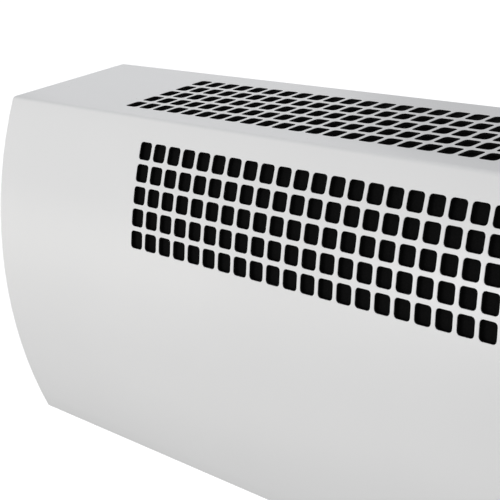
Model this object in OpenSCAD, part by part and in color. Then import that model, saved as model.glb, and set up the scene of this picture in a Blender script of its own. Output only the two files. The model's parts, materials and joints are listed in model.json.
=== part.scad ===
// Over-door air curtain: a rolled and punched cover over a cross-flow fan, a finned heater and a louvred outlet.
// X runs along the casing, the wall is the plane Y = 0 and the front faces -Y. The origin is the middle of the
// four wall-fixing holes. Outlines of sheets and plates are drawn in Y and Z, and are then run along X.

/* [Casing] */
// Length of the casing
case_len = 896; // [880:1:1400]
// Height of the casing
case_h = 208; // [206:1:225]
// Depth of the casing at its foremost line
case_depth = 118; // [116:0.5:130]
// Radius of the rolled front
front_r = 268.5; // [240:0.5:340]
// Height of the foremost line above the bottom edge
bulge_up = 83.5; // [78:0.5:95]
// Outer radius of the bend between top and front
bend_r = 3; // [2:0.5:5]
// Outer radius of the fold between front and lip
fold_r = 1.6; // [1:0.1:3]
// Thickness of the cover sheet
cover_t = 1.2; // [0.8:0.1:1.5]
// Width of the cover's return along the bottom
cover_lip = 14; // [12:0.5:16]
// Thickness of the chassis plates
plate_t = 1.5; // [1:0.1:2]
// Width of the back plate's top flange
back_flange = 15; // [12:0.5:17]
// Width of the back plate's bottom flange
back_lip = 16; // [12:0.5:18]
// Width of the rim folded round an end plate
end_rim = 12; // [8:0.5:16]
// Gap between sheets that lie against each other without touching
seat_gap = 0.3; // [0.2:0.05:0.4]

/* [Punched fields] */
// Distance between the centres of neighbouring holes
pitch = 12.5; // [12:0.25:13]
// Side of a square hole
hole = 10; // [7:0.5:10.5]
// Corner radius of a hole
hole_r = 2; // [1:0.25:3]
// Rows of holes in the front
front_rows = 5; // [3:1:5]
// Distance from an end of the casing to the middle of the front's first hole
front_margin = 141; // [105:1:200]
// Distance from an end of the casing to the middle of the top's first hole
top_margin = 104; // [100:1:200]
// Drop from the top to the middle of the front's first row
front_drop = 16.7; // [15:0.1:20]
// Distance from the wall to the middle of the top's rear row
top_setback = 19; // [18:0.5:22]
// Least distance from the middle of the top's front row to the bend
top_land = 14.5; // [12:0.5:16]

/* [Wall and cable] */
// Distance from an end of the casing to its wall-fixing holes
fix_inset = 48; // [43:1:53]
// Distance between the wall-fixing holes in height
fix_rise = 160; // [150:1:164]
// Diameter of a wall-fixing hole
fix_d = 7; // [5:0.5:8]
// Bore of the cable grommet
cable_d = 10; // [7:0.5:12]
// Wall of the cable grommet in the plate
grommet_wall = 5; // [3:0.5:6]
// Distance from the left end of the casing to the cable entry
cable_inset = 30; // [26:1:36]
// Height of the cable entry
cable_z = 56; // [50:1:60]

/* [Filters] */
// Thickness of a filter frame
filter_t = 4; // [3:0.5:5]
// Thickness of the mat in a filter frame
mat_t = 2; // [1:0.5:2.5]
// Width of a filter frame's bars
filter_bar = 6; // [4:0.5:6]
// Bars across a filter
filter_ribs = 6; // [2:1:10]
// Room from the outer holes' edges to a filter's edge
filter_over = 8; // [7:0.5:9]

/* [Fan] */
// Distance from the wall to the impeller
fan_rear_room = 15; // [14.5:0.5:17]
// Distance from the impeller to the casing's foremost line
fan_front_room = 17; // [16:0.5:20]
// Height of the fan's axis above the bottom edge
fan_up = 119; // [117:0.5:121]
// Length of an end compartment, beside the fan chamber
bay_len = 93; // [87:0.5:94]
// Gap between a bulkhead and the impeller
fan_end_gap = 8; // [6:0.5:10]
// Blades in a ring of the impeller
blades = 32; // [20:1:36]
// Rings of blades along the impeller
rings = 9; // [4:1:12]
// Radial depth of a blade
blade_depth = 8.5; // [7:0.5:10]
// Thickness of a blade
blade_t = 0.6; // [0.4:0.1:1]
// Angle between a blade and the rim
blade_angle = 26; // [20:1:35]
// Thickness of the impeller's discs
disc_t = 1.5; // [1:0.1:2.5]
// Height of a disc's rim beyond the blades
disc_rim = 0.5; // [0.3:0.1:1]
// Gap between impeller and scroll where the scroll starts
scroll_start = 3; // [2:0.5:4]
// Gap between impeller and scroll where the duct starts
scroll_end = 17; // [14:0.5:18]
// Angle above the axis at which the scroll starts
scroll_from = 50; // [45:1:60]
// Lean of the duct's rear wall
duct_lean = 11.3; // [9:0.1:13]
// Gap between impeller and tongue
tongue_gap = 4; // [3:0.5:5]
// Angle below the axis at which the tongue lies
tongue_drop = 25; // [20:1:30]
// Thickness of the guide sheets
guide_t = 1; // [0.8:0.1:1.2]
// Width of the guide sheets' flanges
guide_flange = 10; // [6:0.5:12]
// Height of the rear guide's leg between its flange and the scroll
guide_leg = 4; // [2:0.5:6]
// Rise of the tongue from its nose to the cover
tongue_rise = 6; // [2:0.5:8]
// Depth of the fold at the tongue's nose
nose_fold = 3; // [2:0.5:4]

/* [Motor and bearings] */
// Diameter of the shafts
shaft_d = 8; // [6:0.5:9]
// Outer diameter of the bearing bushes
bush_d = 16; // [14:0.5:18]
// Length of the bearing bushes
bush_len = 9; // [7:0.5:10]
// Radial clearance of a shaft in its bush
run_gap = 0.05; // [0.02:0.01:0.08]
// Diameter of the motor's drum
motor_d = 76; // [70:1:78]
// Length of the motor with its end shields
motor_len = 46; // [42:1:50]
// Wall of the motor's drum
motor_wall = 2.5; // [2:0.5:3]
// Diameter of the bosses on the end shields
boss_d = 28; // [24:1:30]
// Diameter of the rubber rings round the bosses
ring_d = 44; // [40:1:48]
// Length of the rubber rings
ring_len = 7; // [6:0.5:8]
// Length of the stator's laminations
stack_len = 20; // [14:1:22]
// Gap between rotor and stator
air_gap = 0.5; // [0.4:0.1:0.8]
// Thickness of the motor bracket
bracket_t = 2; // [1.5:0.1:3]
// Diameter of the rubber hub that drives the impeller
hub_d = 40; // [36:1:44]
// Length of the rubber hub
hub_len = 12; // [10:0.5:14]
// Outer diameter of the rubber seat round the end bearing
seat_d = 34; // [30:1:38]

/* [Heater] */
// Diameter of the element tubes
tube_d = 8.5; // [6.5:0.5:9]
// Gap between the outer fins and the duct's walls
duct_room = 4; // [3:0.5:6]
// Gap between the fins of neighbouring elements
fin_room = 2; // [1:0.5:4]
// Thickness of a fin
fin_t = 0.8; // [0.5:0.1:1.2]
// Distance between fins
fin_pitch = 12; // [8:0.5:16]
// Height of the elements above the bottom edge
element_up = 50; // [48:0.5:56]
// Reach of the tubes beyond the bulkheads
tube_out = 8; // [7:0.5:10]
// Diameter of the terminal studs
stud_d = 4; // [3:0.5:5]
// Reach of the studs beyond the tubes
stud_out = 10; // [6:0.5:12]
// Wall of the ceramic bushes round the tubes
ceramic_wall = 2.5; // [2:0.5:3]
// Width of the straps and lugs on the studs
strap_w = 12; // [10:0.5:14]
// Thickness of the straps and lugs
strap_t = 1.5; // [1:0.1:2]
// Reach of a lug above its stud
lug_up = 14; // [10:0.5:18]
// Height of the hanger above and below the tubes
hanger_half = 13; // [11:0.5:16]
// Thickness of the hanger
hanger_t = 1.2; // [0.8:0.1:2]

/* [Outlet] */
// Distance from the cover's lip to the outlet slot
slot_land = 7; // [5:0.5:8]
// Chord of a vane
vane_w = 20; // [16:0.5:20]
// Thickness of a vane at its middle
vane_t = 4; // [3.5:0.1:5]
// Height of the vanes' pivots above the bottom edge
vane_up = 11.5; // [11.5:0.1:13]
// Diameter of the pivot pins
pivot_d = 3; // [2.5:0.1:3.2]
// Distance from a vane's pivot to its link pin
crank = 7; // [6.5:0.1:7]
// Diameter of the link pins
link_pin_d = 2.4; // [2:0.1:2.6]
// Thickness of the link
link_t = 3; // [2:0.5:3.5]
// Height of the link
link_h = 5; // [4.5:0.1:5.5]
// Thickness of the louvre bearings
bearing_t = 8; // [6:0.5:9]
// Height of the outlet guard above the bottom edge
guard_up = 31; // [29:0.5:33]
// Diameter of the guard's wires
wire_d = 2; // [1.6:0.1:2.4]
// Distance between the guard's wires
wire_pitch = 12; // [8:0.5:14]
// Diameter of the guard's rods
rod_d = 3; // [2.5:0.1:3.5]

/* [Switches] */
// Width of a switch's bezel
bezel_w = 25; // [24:0.5:28]
// Length of a switch's bezel
bezel_l = 34; // [32:0.5:36]
// Width of a rocker
rocker_w = 15; // [12:0.5:16]
// Length of a rocker
rocker_l = 23; // [20:0.5:23]
// Angle of a rocker to each side of its middle
rocker_tilt = 8; // [6:0.5:9]
// Height of a switch body above the panel
switch_h = 20; // [18:0.5:24]
// Distance between the switches
switch_gap = 34; // [32:0.5:36]

/* [Fasteners] */
// Diameter of the screws' shanks
screw_d = 4; // [3:0.5:5]
// Length of the screws' shanks
screw_len = 9; // [6:0.5:12]
// Diameter of the screws' heads
screw_head_d = 7.5; // [6:0.5:8]
// Height of the screws' heads
screw_head_h = 1.8; // [1.2:0.1:2.5]
// Distance from an end of the casing to its outermost cover screw
screw_inset = 18; // [14:0.5:30]

/* [Hidden] */
$fn = 96;

// Overlap that lets a cut pass right through
cut = 1;
// Least radius inside a bend
least_r = 0.5;

case_top = case_h / 2;
case_bottom = -case_h / 2;
half_len = case_len / 2;
arc_y = front_r - case_depth;
arc_z = case_bottom + bulge_up;
// The foremost line of the cover's lip, and the free edge of that lip
lip_front = front_y(case_bottom, 0);
lip_edge = lip_front + cover_lip;
// Where the flat of the top ends at the bend
top_front = bend_centre(0)[0];
// Inner faces of the bottom panel and of the back plate
floor_z = case_bottom + 2 * plate_t;
back_y = -plate_t;
// Height at which the chassis plates end under the filters
filter_drop = cover_t + filter_t + 2 * seat_gap;
inner_len = case_len - 2 * (plate_t + seat_gap);

fan_d = case_depth - fan_rear_room - fan_front_room;
fan_r = fan_d / 2;
fan_y = -fan_rear_room - fan_r;
fan_z = case_bottom + fan_up;
half_chamber = half_len - 2 * plate_t - bay_len;
fan_len = 2 * (half_chamber - fan_end_gap);
// Middle of an end compartment
bay_x = half_chamber + plate_t + bay_len / 2;
cable_x = half_len - cable_inset;

// The scroll is one arc. Its centre is set off from the axis, so that the gap grows from start to end
scroll_shift = (scroll_end - scroll_start) / 2;
scroll_y = fan_y - scroll_shift * cos(scroll_from);
scroll_z = fan_z - scroll_shift * sin(scroll_from);
scroll_r = fan_r + (scroll_start + scroll_end) / 2 + guide_t / 2;
duct_start = scroll_point(-duct_lean);
foot_z = floor_z + guide_t / 2;
duct_foot = [duct_rear_y(foot_z), foot_z];
nose = [fan_y, fan_z] - (fan_r + tongue_gap + guide_t) * [cos(tongue_drop), sin(tongue_drop)];
slot_rear = duct_foot[0] - guide_t;
slot_front = lip_edge + slot_land;
slot_w = slot_rear - slot_front;
tongue_foot = [slot_front - guide_t, foot_z];

motor_axis_x = bay_x;
shield_t = 3;
boss_len = bush_len - shield_t + 4;
rotor_r = motor_d / 4;
drum_r = motor_d / 2;

element_z = case_bottom + element_up;
duct_mid = (duct_rear_y(element_z) + duct_front_y(element_z)) / 2;
duct_w = duct_rear_y(element_z) - duct_front_y(element_z);
fin_d = (duct_w - 2 * duct_room - 2 * fin_room) / 3;
element_pitch = fin_d + fin_room;
tube_end = half_chamber + plate_t + tube_out;
stud_end = tube_end + stud_out;

vane_z = case_bottom + vane_up;
slot_mid = (slot_rear + slot_front) / 2;
vane_pitch = slot_w / 3;
vane_gap = 0.5;
vane_left = half_chamber - bearing_t - link_t - 2 * vane_gap;
vane_right = half_chamber - bearing_t - vane_gap;
slot_half = half_chamber - bearing_t;

cover_screw_x = [-half_len + screw_inset, -half_len / 3, half_len / 3, half_len - screw_inset];

pan_z = case_bottom + plate_t;
rocker_z = case_bottom + 4;
rocker_mid = 3;
rocker_end = rocker_mid + rocker_l / 2 * tan(rocker_tilt);
rocker_room = norm([rocker_l / 2, rocker_end]) + 0.4;
rocker_pin_d = 2.4;

white = "#f3f4f2";
zinc = "#b9bcbd";
black = "#17181a";
steel = "#9da1a4";
brass = "#b99a4c";
rubber = "#232426";
ceramic = "#e6dfd0";

// Y of the front at a height, seen from an inset inside the casing's skin
function front_y(z, inset) = arc_y - sqrt(pow(front_r - inset, 2) - pow(z - arc_z, 2));

// Centre line of the scroll at an angle above the axis
function scroll_point(a) = [scroll_y, scroll_z] + scroll_r * [cos(a), sin(a)];

// Middle of the duct's rear and front walls at a height
function duct_rear_y(z) = duct_start[0] - (duct_start[1] - z) * tan(duct_lean);
function duct_front_y(z) = tongue_foot[0] + (nose[0] - tongue_foot[0]) * (z - foot_z) / (nose[1] - foot_z);

function unit(v) = v / norm(v);
function back_to_front(list) = [for (i = [len(list) - 1 : -1 : 0]) list[i]];

// A line beside a path, at distance d on its left, with mitred corners
function beside(path, d) = [for (i = [0 : len(path) - 1]) let (
    ahead = unit(path[min(i + 1, len(path) - 1)] - path[min(i, len(path) - 2)]),
    behind = unit(path[max(i, 1)] - path[max(i - 1, 0)]),
    both = ahead + behind
) path[i] + d / (1 + ahead * behind) * [-both[1], both[0]]];

// Outline of a folded sheet whose middle follows a path
function sheet(path, t) = concat(beside(path, t / 2), back_to_front(beside(path, -t / 2)));

// Runs an outline in Y and Z along X
module along_x(from, to) translate([from, 0, 0]) rotate([90, 0, 90]) linear_extrude(to - from) children();

// The same shape at both ends of the casing
module both_ends() {
    children();
    mirror([1, 0, 0]) children();
}

// A round bar or a tube along X
module tube_x(from, to, r, bore = 0) along_x(from, to) difference() {
    circle(r = r);
    if (bore > 0) circle(r = bore);
}

// Centres of the bend at the top and of the fold at the bottom of a skin inset in the casing's own
function bend_centre(inset) = let (r = max(bend_r - inset, least_r), z = case_top - inset - r) [front_y(z, inset + r), z];
function fold_centre(inset, raise) = let (r = max(fold_r - inset, least_r), z = case_bottom + raise + r)
    [front_y(z, inset + r), z];

// Points of an arc between two angles
function arc_points(centre, r, from, to, steps) =
    [for (i = [0 : steps]) let (a = from + (to - from) * i / steps) centre + r * [cos(a), sin(a)]];

// Angle of the front's radius through a point
function front_angle(point) = atan2(point[1] - arc_z, point[0] - arc_y) + (point[1] < arc_z ? 360 : 0);

// The casing's section in Y and Z, inset from its skin, raised from its bottom and set off from the wall
module section(inset, raise, rear) intersection() {
    translate([arc_y, arc_z]) circle(r = front_r - inset);
    polygon(let (
        steps = 6,
        top = bend_centre(inset),
        low = fold_centre(inset, raise),
        bend = arc_points(top, max(bend_r - inset, least_r), 90, front_angle(top), steps),
        fold = arc_points(low, max(fold_r - inset, least_r), front_angle(low), 270, steps),
        above = bend[steps] + steps * (bend[steps] - bend[steps - 1]),
        below = fold[0] + steps * (fold[0] - fold[1]),
        outside = -2 * case_depth
    ) concat(
        [[-rear, case_bottom + raise], [-rear, case_top - inset]],
        bend,
        [above, [outside, above[1]], [outside, below[1]], below],
        fold
    ));
}

// A square hole with round corners
module punched_hole() {
    square([hole, hole - 2 * hole_r], center = true);
    square([hole - 2 * hole_r, hole], center = true);
    for (x = [-1, 1], y = [-1, 1]) translate([x, y] * (hole / 2 - hole_r)) circle(r = hole_r);
}

// A row centred on the casing, with as many holes as the margin at each end leaves room for
module row_of_holes(margin) let (count = floor((case_len - 2 * margin) / pitch) + 1)
    for (i = [0 : count - 1]) translate([(i - (count - 1) / 2) * pitch, 0]) punched_hole();

// Angle above the front's axis of each row of holes
function row_angle(i) = asin((case_top - front_drop - arc_z) / front_r) - i * pitch / front_r * 180 / PI;

top_rows = floor((-top_front - top_setback - top_land) / pitch) + 1;

module front_cover() color(white) difference() {
    along_x(-half_len, half_len) difference() {
        section(0, 0, 0);
        section(cover_t, cover_t, -cut);
        translate([lip_edge, case_bottom - cut]) square([cut - lip_edge, cover_t + 2 * cut]);
    }
    for (i = [0 : front_rows - 1]) translate([0, arc_y, arc_z]) rotate([-row_angle(i), 0, 0])
        translate([0, -front_r + 2 * cut, 0]) rotate([90, 0, 0])
            linear_extrude(4 * cut + 2 * cover_t, center = true) row_of_holes(front_margin);
    translate([0, 0, case_top - cover_t - cut]) linear_extrude(cover_t + 2 * cut)
        for (i = [0 : top_rows - 1]) translate([0, -top_setback - i * pitch]) row_of_holes(top_margin);
    cover_screw_places() cylinder(d = screw_d + 2 * seat_gap, h = 4 * cut + cover_t, center = true);
}

module cover_screw_places() for (x = cover_screw_x) translate([x, lip_front + cover_lip / 2 - 1, case_bottom])
    children();

// A head that stands on Z = 0, with a shallow dome
module domed_head() let (dome = screw_head_d * 0.75) intersection() {
    cylinder(d = screw_head_d, h = screw_head_h);
    translate([0, 0, screw_head_h - dome]) sphere(r = dome);
}

// A screw from below: a domed head under the sheet and a shank up through it
module cover_screws() color(white) cover_screw_places() {
    mirror([0, 0, 1]) domed_head();
    cylinder(d = screw_d, h = screw_len);
}

module back_plate() color(zinc) difference() {
    union() {
        along_x(-half_len, half_len) translate([-plate_t, case_bottom]) square([plate_t, case_h - cover_t]);
        along_x(-inner_len / 2, inner_len / 2) {
            translate([-back_flange, case_top - cover_t - plate_t]) square([back_flange, plate_t]);
            translate([-back_lip, case_bottom]) square([back_lip, plate_t]);
        }
    }
    for (x = [-1, 1], z = [-1, 1]) translate([x * (half_len - fix_inset), 0, z * fix_rise / 2]) rotate([90, 0, 0])
        cylinder(d = fix_d, h = 4 * plate_t, center = true);
    cable_place() cylinder(d = cable_d + 2 * grommet_wall, h = 4 * plate_t, center = true);
}

// The cable entry on the wall plane, with its axis away from the wall
module cable_place() translate([-cable_x, 0, cable_z]) rotate([90, 0, 0]) children();

module end_plate() color(white) {
    along_x(half_len - plate_t, half_len) section(cover_t + seat_gap, plate_t + seat_gap, plate_t + seat_gap);
    along_x(half_len - plate_t - end_rim, half_len - plate_t) difference() {
        section(filter_drop, 2 * plate_t + seat_gap, plate_t + seat_gap);
        section(filter_drop + plate_t, 3 * plate_t + seat_gap, 2 * plate_t + seat_gap);
    }
}

module bottom_panel() color(white) difference() {
    along_x(-inner_len / 2, inner_len / 2) translate([lip_front + cover_t + seat_gap, pan_z])
        square([back_y - seat_gap - lip_front - cover_t - seat_gap, plate_t]);
    along_x(-slot_half, slot_half) translate([slot_front, case_bottom]) square([slot_rear - slot_front, 3 * plate_t]);
    switch_places() linear_extrude(4 * plate_t)
        square([bezel_w - 3 + 2 * seat_gap, bezel_l - 4 + 2 * seat_gap], center = true);
    cover_screw_places() cylinder(d = screw_d, h = 4 * plate_t);
}

// Frame and mat of the filter under the top
module top_filter() color(black) let (
    rear = -back_flange - seat_gap,
    front = -top_setback - (top_rows - 1) * pitch - hole / 2 - filter_over / 2,
    under = case_top - cover_t - seat_gap - filter_t,
    side = half_chamber + plate_t
) {
    difference() {
        translate([-side, front, under]) cube([2 * side, rear - front, filter_t]);
        translate([filter_bar - side, front + filter_bar / 2, under - cut])
            cube([2 * (side - filter_bar), rear - front - filter_bar, filter_t + 2 * cut]);
    }
    translate([-side + filter_bar / 2, front + filter_bar / 4, under + (filter_t - mat_t) / 2])
        cube([2 * side - filter_bar, rear - front - filter_bar / 2, mat_t]);
    for (i = [1 : filter_ribs]) translate([(i / (filter_ribs + 1) * 2 - 1) * side, front + filter_bar / 4, under])
        cube([2, rear - front - filter_bar / 2, filter_t / 2]);
}

// Frame and mat of the filter behind the front, rolled to the front's radius
module front_filter() color(black) let (
    outer = front_r - cover_t - seat_gap,
    inner = outer - filter_t,
    margin = (hole / 2 + filter_over) / front_r * 180 / PI,
    from = row_angle(front_rows - 1) - margin,
    to = row_angle(0) + margin * 0.8,
    side = half_chamber + plate_t,
    bar = filter_bar / front_r * 180 / PI
) {
    difference() {
        along_x(-side, side) arc_band(inner, outer, from, to);
        along_x(filter_bar - side, side - filter_bar) arc_band(inner - cut, outer + cut, from + bar, to - bar);
    }
    along_x(-side + filter_bar / 2, side - filter_bar / 2)
        arc_band(inner + (filter_t - mat_t) / 2, outer - (filter_t - mat_t) / 2, from + bar / 2, to - bar / 2);
    for (i = [1 : filter_ribs]) translate([(i / (filter_ribs + 1) * 2 - 1) * side, 0, 0])
        along_x(-1, 1) arc_band(inner, inner + filter_t / 2, from + bar / 2, to - bar / 2);
}

// A band of the front's circle between two angles above its axis
module arc_band(inner, outer, from, to) translate([arc_y, arc_z]) intersection() {
    difference() {
        circle(r = outer);
        circle(r = inner);
    }
    polygon([[0, 0], 2 * outer * [-cos(from), sin(from)], 2 * outer * [-cos(to), sin(to)]]);
}

// A wall of the fan chamber, with flanges to the back plate and the bottom panel
module bulkhead() {
    along_x(half_chamber, half_chamber + plate_t) difference() {
        section(filter_drop, 2 * plate_t, plate_t);
        element_places() circle(d = tube_d + 2 * ceramic_wall);
        guard_rod_places() circle(d = rod_d + 2 * seat_gap);
        translate([fan_y, fan_z]) circle(d = bush_d + 6);
    }
    along_x(half_chamber + plate_t, half_chamber + plate_t + end_rim) {
        translate([-2 * plate_t, floor_z + 2 * plate_t]) square([plate_t, case_h - filter_drop - 8 * plate_t]);
        translate([slot_front, floor_z]) square([slot_rear - slot_front, plate_t]);
    }
}

module rivet_places() for (side = [-1, 1], z = [-0.35, 0.05, 0.35])
    translate([side * (half_chamber + plate_t + end_rim / 2), -2 * plate_t, z * case_h]) rotate([90, 0, 0]) children();

// Rivets through the bulkheads' flanges
module chassis_rivets() color(zinc) rivet_places() domed_head();

module rear_guide() color(zinc) along_x(-half_chamber + seat_gap, half_chamber - seat_gap) polygon(sheet(let (
    steps = 18,
    start = scroll_point(scroll_from),
    top_y = back_y - guide_t / 2,
    leg_z = start[1] + guide_leg
) concat(
    [[top_y, leg_z + guide_flange], [top_y, leg_z]],
    [for (i = [0 : steps]) scroll_point(scroll_from - (scroll_from + duct_lean) * i / steps)],
    [duct_foot, duct_foot + [guide_flange, 0]]
), guide_t));

module vortex_tongue() color(zinc) along_x(-half_chamber + seat_gap, half_chamber - seat_gap) polygon(sheet(let (
    inset = cover_t + seat_gap + guide_t / 2,
    root_z = nose[1] + tongue_rise
) [
    [front_y(root_z - guide_flange, inset), root_z - guide_flange],
    [front_y(root_z, inset), root_z],
    nose + [-nose_fold, nose_fold / 2],
    nose,
    tongue_foot,
    tongue_foot - [guide_flange, 0]
], guide_t));

// One blade: the part of a small ring that crosses the blades' band, on one side of its axis
module blade() let (
    outer = fan_r - disc_rim,
    inner = outer - blade_depth,
    curve = (pow(outer, 2) - pow(inner, 2)) / (2 * outer * cos(blade_angle)),
    off = sqrt(pow(outer, 2) + pow(curve, 2) - 2 * outer * curve * cos(blade_angle))
) intersection() {
    difference() {
        circle(r = outer);
        circle(r = inner);
    }
    translate([off, 0]) difference() {
        circle(r = curve + blade_t / 2);
        circle(r = curve - blade_t / 2);
    }
    square(fan_d);
}

// Rings of blades between thin discs; the end discs carry a hub seat at one end and a boss at the other
module impeller() color("#b3b7ba") translate([0, fan_y, fan_z]) {
    along_x(-fan_len / 2 + disc_t / 2, fan_len / 2 - disc_t / 2)
        for (i = [0 : blades - 1]) rotate(i * 360 / blades) blade();
    for (i = [0 : rings]) let (
        x = -fan_len / 2 + i * (fan_len - disc_t) / rings,
        bore = i == 0 ? shaft_d / 2 : i == rings ? hub_d / 2 : fan_r - disc_rim - blade_depth - 1
    ) tube_x(x, x + disc_t, fan_r, bore);
    tube_x(-fan_len / 2, -fan_len / 2 + hub_len, shaft_d / 2 + 5, shaft_d / 2);
    tube_x(fan_len / 2 - hub_len, fan_len / 2, hub_d / 2 + 2.5, hub_d / 2);
}

module end_stub() color(steel) translate([0, fan_y, fan_z])
    tube_x(-half_chamber - plate_t - bush_len - 7, -fan_len / 2 + hub_len, shaft_d / 2);

module drive_hub() color(rubber) translate([0, fan_y, fan_z])
    tube_x(fan_len / 2 - hub_len, fan_len / 2 + 2, hub_d / 2, shaft_d / 2 + 4);

module hub_core() color(steel) translate([0, fan_y, fan_z])
    tube_x(fan_len / 2 - hub_len - 2, fan_len / 2 + 5, shaft_d / 2 + 4, shaft_d / 2);

bearing_x = half_chamber + plate_t + 3;

module fan_bearing() color(brass) translate([0, fan_y, fan_z])
    tube_x(-bearing_x - bush_len, -bearing_x, bush_d / 2, shaft_d / 2 + run_gap);

module bearing_rubber() color(rubber) translate([0, fan_y, fan_z])
    tube_x(-bearing_x - bush_len, -bearing_x, seat_d / 2, bush_d / 2);

// Pressed cup that holds the end bearing's rubber seat on the left bulkhead
module bearing_cup() color(zinc) translate([-half_chamber - plate_t, fan_y, fan_z]) {
    tube_x(-plate_t, 0, seat_d / 2 + 10, bush_d / 2 + 3);
    tube_x(-bush_len - 3, -plate_t, seat_d / 2 + plate_t, seat_d / 2);
    tube_x(-bush_len - 3 - plate_t, -bush_len - 3, seat_d / 2 + plate_t, bush_d / 2 + 1);
}

module on_motor() translate([motor_axis_x, fan_y, fan_z]) children();

module motor_drum() color(steel) on_motor()
    tube_x(shield_t - motor_len / 2, motor_len / 2 - shield_t, drum_r, drum_r - motor_wall);

// End shields with a boss, a seat for the bush and cooling slots
module motor_shields() color(steel) on_motor() both_ends() difference() {
    union() {
        tube_x(motor_len / 2 - shield_t, motor_len / 2, drum_r);
        tube_x(motor_len / 2, motor_len / 2 + boss_len, boss_d / 2);
    }
    tube_x(motor_len / 2 - shield_t - cut, motor_len / 2 + boss_len - bush_len, bush_d / 2 - 1);
    tube_x(motor_len / 2 + boss_len - bush_len, motor_len / 2 + boss_len + cut, bush_d / 2);
    for (i = [0 : 7]) along_x(motor_len / 2 - shield_t - cut, motor_len / 2 + cut) rotate(i * 45)
        translate([boss_d / 2 + 5, -2.5]) square([drum_r - boss_d / 2 - 10, 5]);
}

module motor_bushes() color(brass) on_motor() both_ends()
    tube_x(motor_len / 2 + boss_len - bush_len, motor_len / 2 + boss_len, bush_d / 2, shaft_d / 2 + run_gap);

module motor_stator() color("#6d7073") on_motor()
    tube_x(-stack_len / 2, stack_len / 2, drum_r - motor_wall, rotor_r + air_gap);

module motor_winding() color("#9c5a2c") on_motor() both_ends()
    tube_x(stack_len / 2, motor_len / 2 - shield_t - 3, drum_r - motor_wall - 3, rotor_r + air_gap + 2);

module motor_rotor() color("#85888b") on_motor()
    tube_x(-stack_len / 2, stack_len / 2, rotor_r, shaft_d / 2);

module motor_shaft() color(steel) translate([0, fan_y, fan_z])
    tube_x(fan_len / 2 - hub_len, motor_axis_x + motor_len / 2 + boss_len + 3, shaft_d / 2);

ring_x = motor_len / 2 + (boss_len - ring_len) / 2;

module motor_rings() color(rubber) on_motor() both_ends()
    tube_x(ring_x, ring_x + ring_len, ring_d / 2, boss_d / 2);

// Base on the back plate and two ears that hold the rubber rings
module motor_bracket() color(zinc) let (ear_x = ring_x + ring_len / 2 - bracket_t / 2, ear_r = ring_d / 2 + 5) {
    translate([motor_axis_x, 0, 0]) both_ends() along_x(ear_x, ear_x + bracket_t) difference() {
        union() {
            translate([fan_y, fan_z]) circle(r = ear_r);
            translate([fan_y, fan_z - ear_r]) square([back_y - fan_y, 2 * ear_r]);
        }
        translate([fan_y, fan_z]) circle(d = ring_d);
    }
    along_x(motor_axis_x - ear_x, motor_axis_x + ear_x)
        translate([back_y - bracket_t, fan_z - ear_r]) square([bracket_t, 2 * ear_r]);
}

cap_d = 28;
cap_len = 46;
cap_z = fan_z - drum_r - cap_d / 2 - 8;
cap_y = back_y - 2 - cap_d / 2;

module run_capacitor() color("#d9dcde") {
    translate([0, cap_y, cap_z]) {
        tube_x(bay_x - cap_len / 2, bay_x + cap_len / 2, cap_d / 2);
        for (y = [-5, 5]) along_x(bay_x - cap_len / 2 - 7, bay_x - cap_len / 2) translate([y - 3, -0.4]) square([6, 0.8]);
    }
}

// Band round the capacitor with a foot on the back plate
module capacitor_clip() color(zinc) along_x(bay_x - 8, bay_x + 8) difference() {
    union() {
        translate([cap_y, cap_z]) circle(d = cap_d + 2);
        translate([back_y - 1, cap_z - cap_d / 2 - 8]) square([1, cap_d + 16]);
        translate([cap_y, cap_z - 5]) square([back_y - cap_y, 10]);
    }
    translate([cap_y, cap_z]) circle(d = cap_d);
}

// Middles of the three elements in Y and Z
function element_y(i) = duct_mid + (i - 1) * element_pitch;
module element_places() for (i = [0 : 2]) translate([element_y(i), element_z]) children();

// Tube with round fins and a terminal stud at each end, turned from one outline
module heater_element(i) color("#8c8076") translate([0, element_y(i), element_z]) rotate([0, 90, 0])
    rotate_extrude() polygon(let (
        r = tube_d / 2,
        count = floor((half_chamber - 18) / fin_pitch),
        fins = [for (k = [-count : count], end = [0, 1], out = [0, 1]) let (
            z = (k + (k < 0 ? 0.5 : -0.5)) * fin_pitch + (end == 0 ? -1 : 1) * fin_t / 2
        ) if (k != 0) [end == out ? r : fin_d / 2, z]]
    ) concat(
        [[0, -stud_end], [stud_d / 2, -stud_end], [stud_d / 2, -tube_end], [r, -tube_end]],
        fins,
        [[r, tube_end], [stud_d / 2, tube_end], [stud_d / 2, stud_end], [0, stud_end]]
    ));

// Flanged ceramic bushes that carry the tubes in the bulkheads
module heater_bushes() color(ceramic) both_ends() element_places_x() {
    tube_x(half_chamber, half_chamber + plate_t + 5, tube_d / 2 + ceramic_wall, tube_d / 2);
    tube_x(half_chamber - 2, half_chamber, tube_d / 2 + ceramic_wall + 2, tube_d / 2);
}

module element_places_x() for (i = [0 : 2]) translate([0, element_y(i), element_z]) children();

// A bar that joins the studs at the left, and a lug on each stud at the right
module heater_links() color(brass) {
    along_x(-tube_end - strap_t, -tube_end) difference() {
        translate([element_y(0), element_z] - [1, 1] * strap_w / 2) square([2 * element_pitch + strap_w, strap_w]);
        element_places() circle(d = stud_d);
    }
    along_x(tube_end, tube_end + strap_t) element_places() difference() {
        union() {
            circle(d = strap_w);
            translate([-strap_w / 4, 0]) square([strap_w / 2, lug_up]);
        }
        circle(d = stud_d);
    }
}

// A plate across the duct that steadies the tubes at mid-length
module heater_hanger() color(zinc) along_x(-hanger_t / 2, hanger_t / 2) difference() {
    polygon(let (low = element_z - hanger_half, high = element_z + hanger_half, side = guide_t / 2 + seat_gap) [
        [duct_rear_y(low) - side, low], [duct_rear_y(high) - side, high],
        [duct_front_y(high) + side, high], [duct_front_y(low) + side, low]
    ]);
    element_places() circle(d = tube_d);
}

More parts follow.
